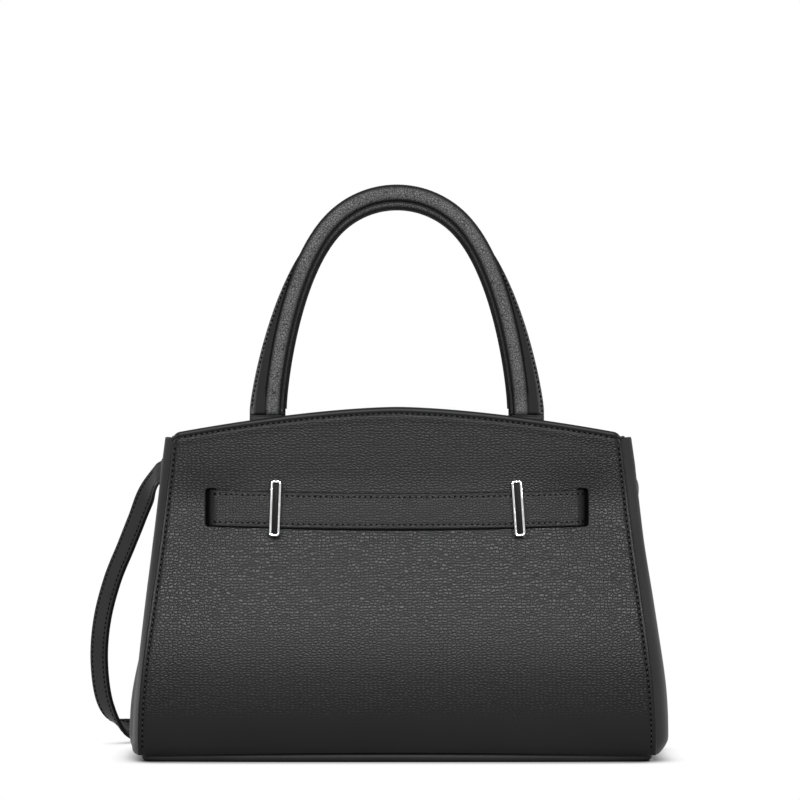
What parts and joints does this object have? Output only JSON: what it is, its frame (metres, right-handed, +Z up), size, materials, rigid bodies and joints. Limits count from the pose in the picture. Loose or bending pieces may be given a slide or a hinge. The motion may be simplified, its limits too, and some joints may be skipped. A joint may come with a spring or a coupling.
{
  "type": "handbag",
  "caption": "Structured leather handbag with rolled top handles, a belt with turning bars across the front, side rings and a clip-on shoulder strap.",
  "frame": {"origin": "middle of the base's underside, on the surface the bag stands on", "axes": "+Z up, +X towards the right side seen from the front, -Y towards the front with the belt"},
  "size_m": [0.3179, 0.3531, 0.3098],
  "materials": {
    "grained_leather": "dark charcoal, pebbled grain, semi-matt",
    "smooth_leather": "dark charcoal, fine grain, semi-matt",
    "lining_cloth": "plain woven cloth",
    "fibre_board": "unfinished stiff board",
    "cotton_cord": "undyed twisted cord",
    "polished_steel": "polished",
    "black_enamel": "glossy black enamel"
  },
  "bodies": {
    "bag": {"front_panel": "grained_leather", "back_panel": "grained_leather", "left_gusset": "smooth_leather", "right_gusset": "smooth_leather", "base_panel": "smooth_leather", "base_board": "fibre_board", "lining": "lining_cloth", "inner_pocket": "lining_cloth", "front_facing": "smooth_leather", "back_facing": "smooth_leather", "front_magnet": "polished_steel", "back_magnet": "polished_steel", "belt": "grained_leather", "left_bar_post": "polished_steel", "right_bar_post": "polished_steel", "left_bar_washer": "polished_steel", "right_bar_washer": "polished_steel", "front_handle_left_tab": "grained_leather", "front_handle_right_tab": "grained_leather", "back_handle_left_tab": "grained_leather", "back_handle_right_tab": "grained_leather", "left_side_tab": "smooth_leather", "right_side_tab": "smooth_leather"},
    "front_carry": {"front_handle": "grained_leather", "front_handle_core": "cotton_cord"},
    "back_carry": {"back_handle": "grained_leather", "back_handle_core": "cotton_cord"},
    "left_turn_bar": {"left_bar": "polished_steel", "left_bar_inlay": "black_enamel"},
    "right_turn_bar": {"right_bar": "polished_steel", "right_bar_inlay": "black_enamel"},
    "sling": {"shoulder_strap": "smooth_leather", "left_ring": "polished_steel", "right_ring": "polished_steel", "left_hook": "polished_steel", "right_hook": "polished_steel", "left_hook_eye": "polished_steel", "right_hook_eye": "polished_steel", "left_gate_pin": "polished_steel", "right_gate_pin": "polished_steel"},
    "left_hook_gate": {"left_gate": "polished_steel"},
    "right_hook_gate": {"right_gate": "polished_steel"}
  },
  "joints": [
    {"name": "front_handle_fold", "type": "hinge", "parent": "bag", "child": "front_carry", "pos_m": [0, -0.04173, 0.1886], "axis": [1, 0, 0], "range_deg": [-15, 88]},
    {"name": "back_handle_fold", "type": "hinge", "parent": "bag", "child": "back_carry", "pos_m": [0, 0.04173, 0.1886], "axis": [-1, 0, 0], "range_deg": [-15, 88]},
    {"name": "left_bar_turn", "type": "hinge", "parent": "bag", "child": "left_turn_bar", "pos_m": [-0.065, -0.04803, 0.13532], "axis": [0, -0.9925, 0.1221], "range_deg": [0, 90]},
    {"name": "right_bar_turn", "type": "hinge", "parent": "bag", "child": "right_turn_bar", "pos_m": [0.065, -0.04803, 0.13532], "axis": [0, -0.9925, 0.1221], "range_deg": [0, 90]},
    {"name": "strap_lift", "type": "hinge", "parent": "bag", "child": "sling", "pos_m": [0, 0, 0.166], "axis": [1, 0, 0], "range_deg": [0, 120]},
    {"name": "left_gate_open", "type": "hinge", "parent": "sling", "child": "left_hook_gate", "pos_m": [-0.1222, 0.01356, 0.16052], "axis": [0, 0.3746, 0.9272], "range_deg": [0, 20], "stiffness_Nm_per_rad": 0.02},
    {"name": "right_gate_open", "type": "hinge", "parent": "sling", "child": "right_hook_gate", "pos_m": [0.1222, 0.01153, 0.15699], "axis": [0, -0.6157, -0.788], "range_deg": [0, 20], "stiffness_Nm_per_rad": 0.02}
  ]
}
